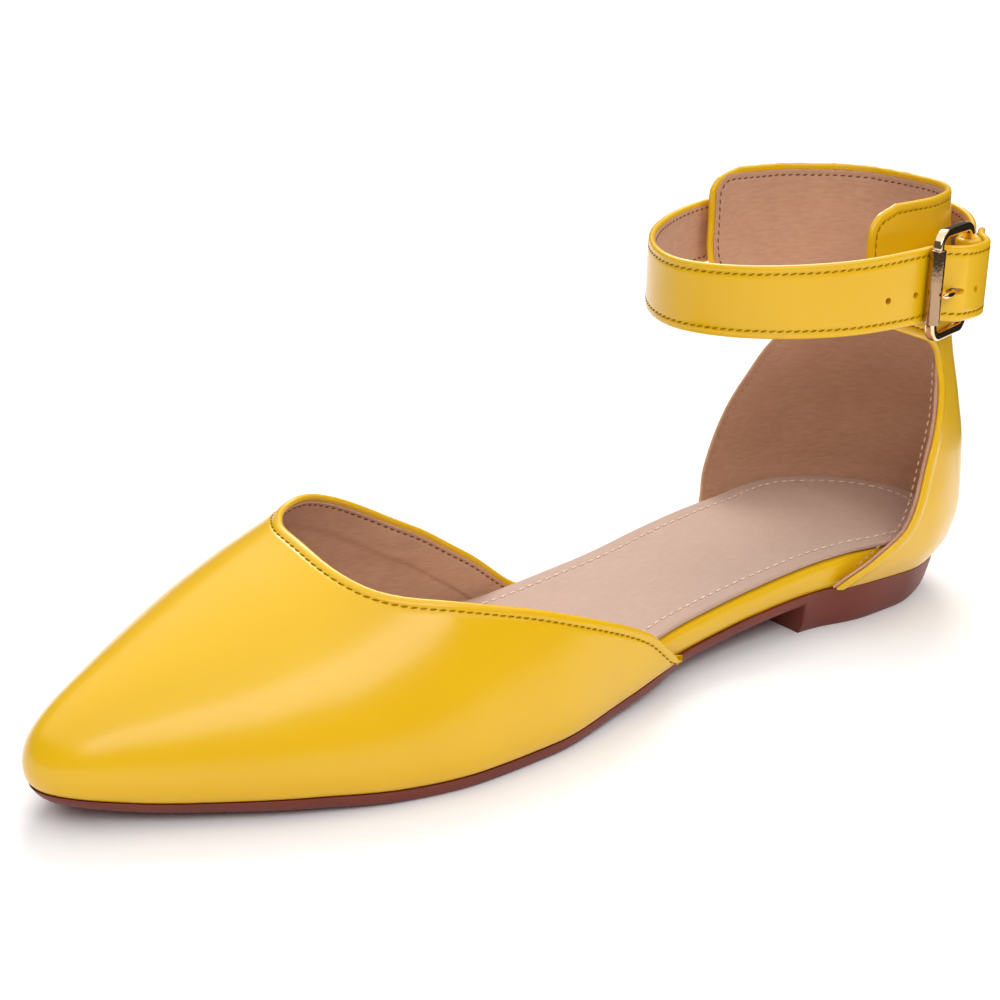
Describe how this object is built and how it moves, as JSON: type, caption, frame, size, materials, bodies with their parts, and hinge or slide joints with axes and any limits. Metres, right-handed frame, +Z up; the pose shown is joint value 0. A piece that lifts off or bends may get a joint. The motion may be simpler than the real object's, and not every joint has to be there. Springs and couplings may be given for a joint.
{
  "type": "women's ankle-strap flat shoe",
  "caption": "Pointed flat shoe with an open waist, a tall heel panel with a winged cuff and a buckled ankle strap.",
  "frame": {"origin": "middle of the shoe's box on the floor", "axes": "+X to the toe, +Y to the outer side of the foot, +Z up"},
  "size_m": [0.278, 0.083, 0.1118],
  "materials": {
    "upper_leather": "smooth coated leather, satin",
    "lining_leather": "matt lining leather",
    "outsole_rubber": "moulded rubber, semi-matt",
    "buckle_metal": "polished pale gold plating"
  },
  "bodies": {
    "root": {"outsole": "outsole_rubber", "footbed": "upper_leather", "insole": "lining_leather", "vamp": "upper_leather", "heel_panel": "upper_leather", "ankle_strap": "upper_leather", "buckle_frame": "buckle_metal", "buckle_roller": "buckle_metal", "buckle_prong": "buckle_metal"}
  },
  "joints": []
}
